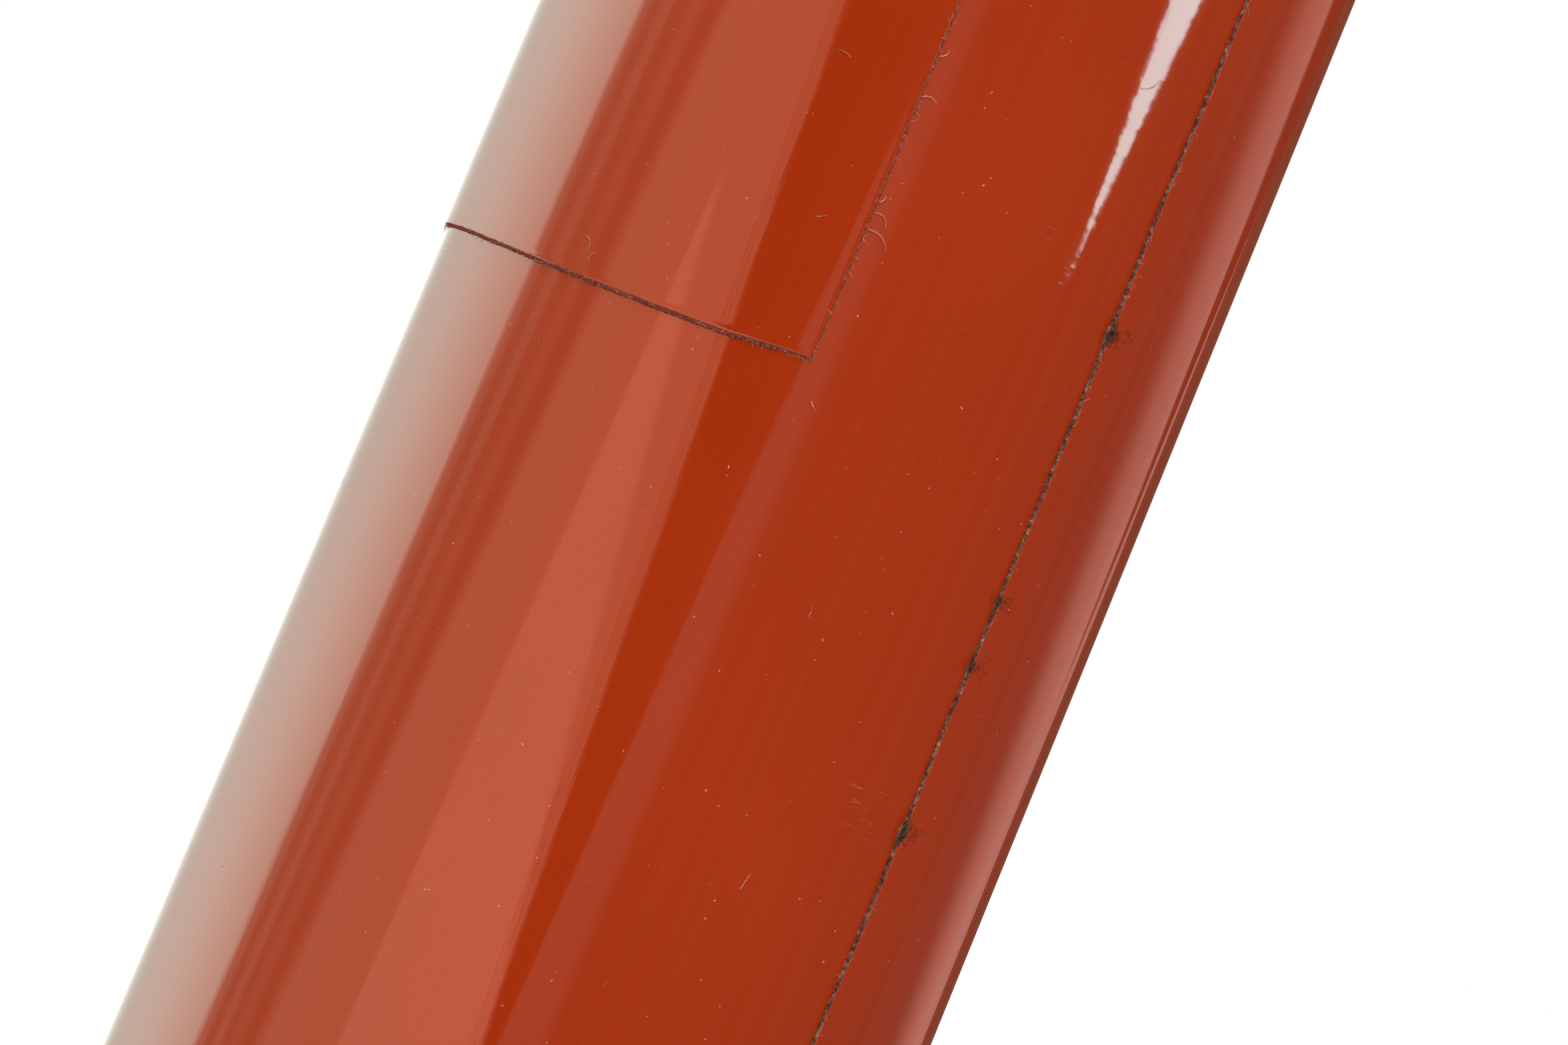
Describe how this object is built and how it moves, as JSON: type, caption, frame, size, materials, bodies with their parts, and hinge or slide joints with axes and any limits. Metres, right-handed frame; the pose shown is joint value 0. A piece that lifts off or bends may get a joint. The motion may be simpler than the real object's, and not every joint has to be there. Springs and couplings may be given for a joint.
{
  "type": "drawing tube",
  "caption": "Rigid round carrying tube for rolled drawings, covered in glossy red sheet with a lapped seam, with a pull-off lid and a swinging leather handle.",
  "frame": {"origin": "middle of the base's underside, on the tube's axis", "axes": "+Z along the tube from base to lid, -X towards the handle"},
  "size_m": [0.1347, 0.0896, 0.64],
  "materials": {
    "red_sheet": "high gloss lacquer, slightly wavy",
    "board": "matt rolled board",
    "lining_paper": "matt",
    "rim_steel": "nickel plated, slightly dulled",
    "tack_metal": "nickel plated",
    "fitting_steel": "nickel plated, dulled at the edges",
    "rivet_metal": "nickel plated",
    "felt": "felted wool",
    "handle_leather": "smooth dark brown, stitched"
  },
  "bodies": {
    "body": {"body_core": "board", "body_cover": "red_sheet", "inner_tube": "board", "inner_lining": "lining_paper", "base_board": "board", "base_cover": "red_sheet", "base_lining": "lining_paper", "base_rim": "rim_steel", "base_rim_tacks": "tack_metal", "handle_panel": "red_sheet", "lug_lower": "fitting_steel", "lug_upper": "fitting_steel", "lug_rivets_lower": "rivet_metal", "lug_rivets_upper": "rivet_metal", "rivet_washers_lower": "rivet_metal", "rivet_washers_upper": "rivet_metal", "pivot_pin_lower": "rivet_metal", "pivot_pin_upper": "rivet_metal"},
    "lid": {"lid_core": "board", "lid_cover": "red_sheet", "lid_board": "board", "lid_top_cover": "red_sheet", "lid_lining": "lining_paper", "lid_rim": "rim_steel", "lid_rim_tacks": "tack_metal"},
    "handle": {"handle_strip": "fitting_steel", "handle_padding": "felt", "handle_leather": "handle_leather"}
  },
  "joints": [
    {"name": "lid_pull", "type": "slide", "parent": "body", "child": "lid", "axis": [0, 0, 1], "range_m": [0, 0.08]},
    {"name": "handle_swing", "type": "hinge", "parent": "body", "child": "handle", "pos_m": [-0.0525, 0, 0.32], "axis": [0, 0, 1], "range_deg": [-90, 90]}
  ]
}
